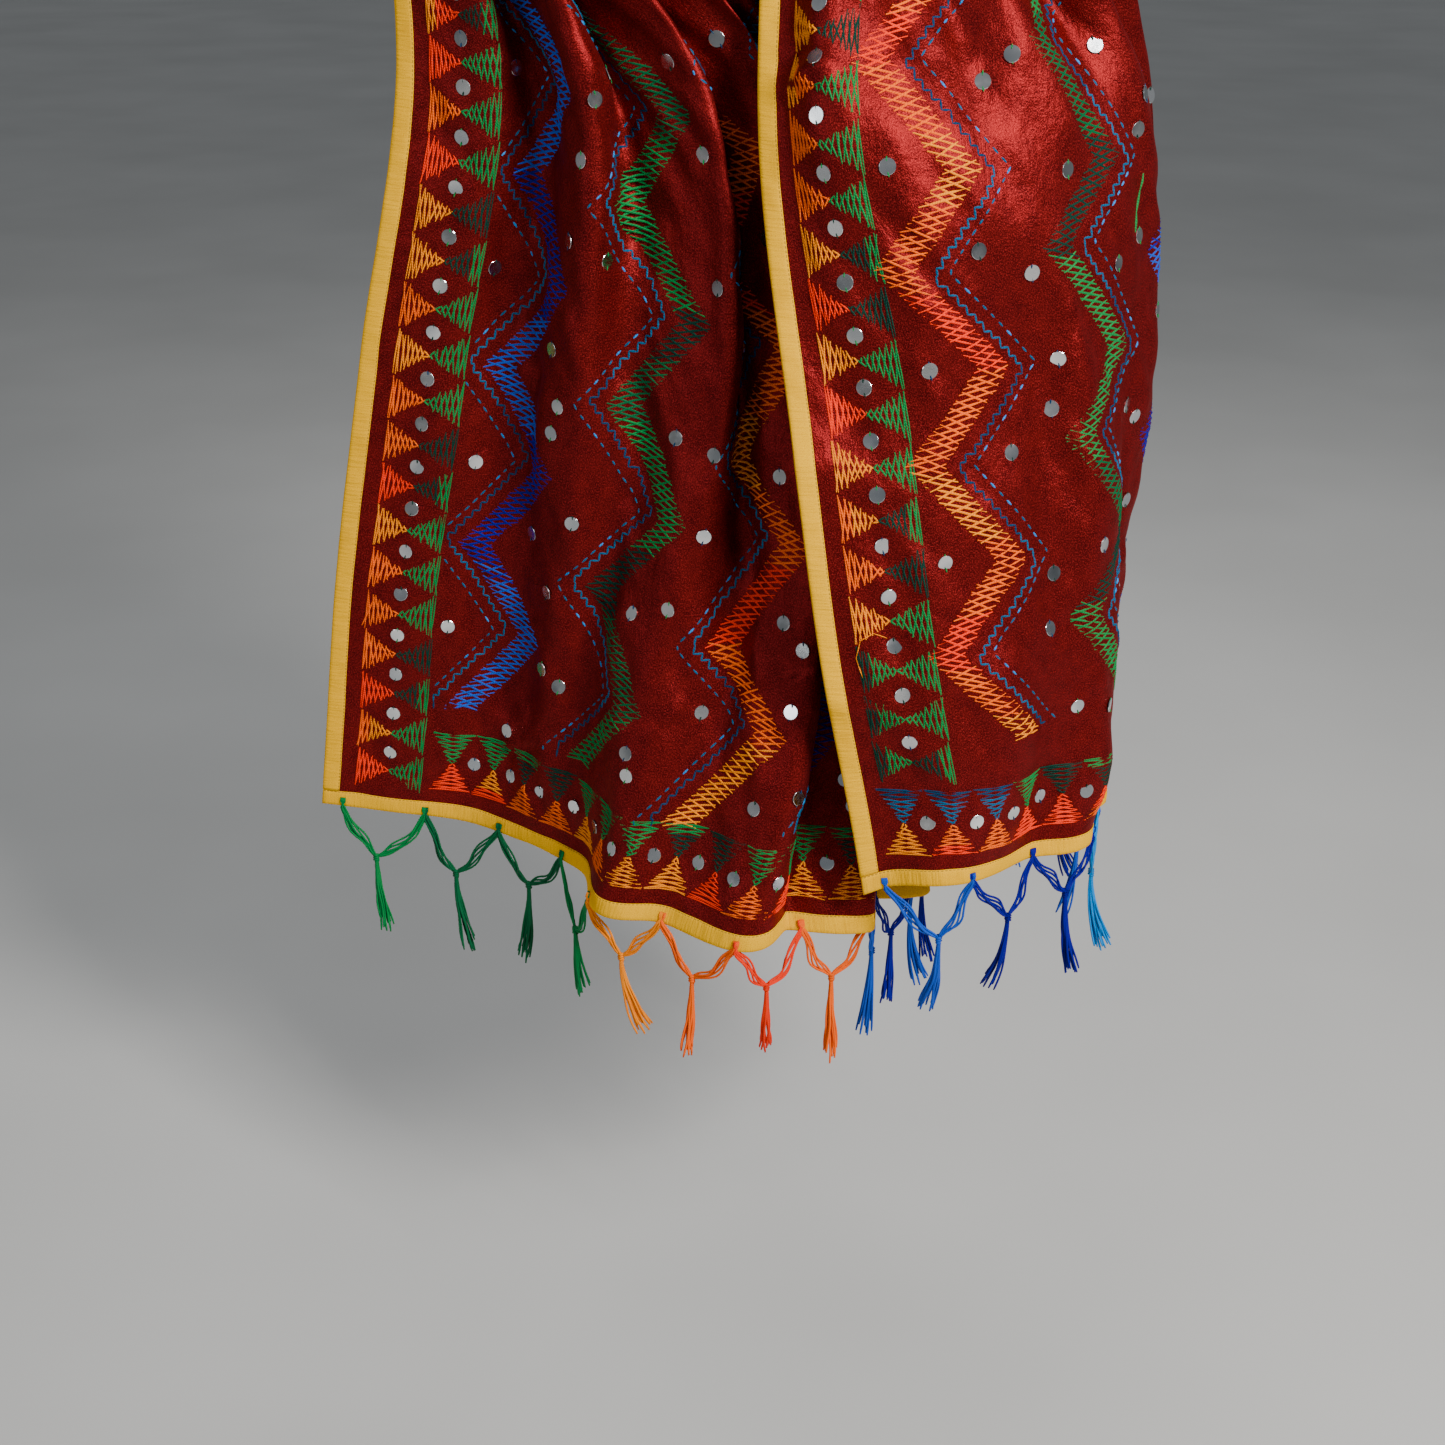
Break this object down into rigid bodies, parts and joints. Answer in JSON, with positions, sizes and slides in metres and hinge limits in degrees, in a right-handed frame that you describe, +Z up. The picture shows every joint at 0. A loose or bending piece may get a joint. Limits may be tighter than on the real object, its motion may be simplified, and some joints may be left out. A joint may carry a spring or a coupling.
{
  "type": "dupatta stole",
  "caption": "Embroidered satin dupatta stole with bound edges and tasselled hems, worn round the neck with both ends hanging in front and one wrapped round the side.",
  "frame": {"origin": "base of the wearer's neck, level with the tops of the shoulders, where the stole is held up", "axes": "+Z up, the wearer faces -Y, +X towards the viewer's right"},
  "size_m": [0.7004, 0.4974, 1.1482],
  "materials": {
    "satin": "red satin with a soft sheen",
    "tape": "matt woven cotton tape",
    "yarn_green": "matt cotton yarn",
    "yarn_orange": "matt cotton yarn",
    "yarn_blue": "matt cotton yarn",
    "embroidery": "glossy embroidery thread in several colours",
    "mirror_disc": "small silvered discs"
  },
  "bodies": {
    "root": {"stole_left_end": "satin", "stole_neck": "satin", "stole_right_end": "satin", "binding_outer_edge": "tape", "binding_inner_edge": "tape", "hem_binding_left": "tape", "hem_binding_right": "tape", "tassel_left_01": "yarn_green", "tassel_left_02": "yarn_green", "tassel_left_03": "yarn_green", "tassel_left_04": "yarn_green", "tassel_left_05": "yarn_orange", "tassel_left_06": "yarn_orange", "tassel_left_07": "yarn_orange", "tassel_left_08": "yarn_orange", "tassel_left_09": "yarn_blue", "tassel_left_10": "yarn_blue", "tassel_left_11": "yarn_blue", "tassel_left_12": "yarn_blue", "tassel_right_01": "yarn_orange", "tassel_right_02": "yarn_orange", "tassel_right_03": "yarn_orange", "tassel_right_04": "yarn_orange", "tassel_right_05": "yarn_blue", "tassel_right_06": "yarn_blue", "tassel_right_07": "yarn_blue", "tassel_right_08": "yarn_blue", "tassel_right_09": "yarn_blue", "tassel_right_10": "yarn_blue", "tassel_right_11": "yarn_blue", "tassel_right_12": "yarn_blue"}
  },
  "joints": []
}
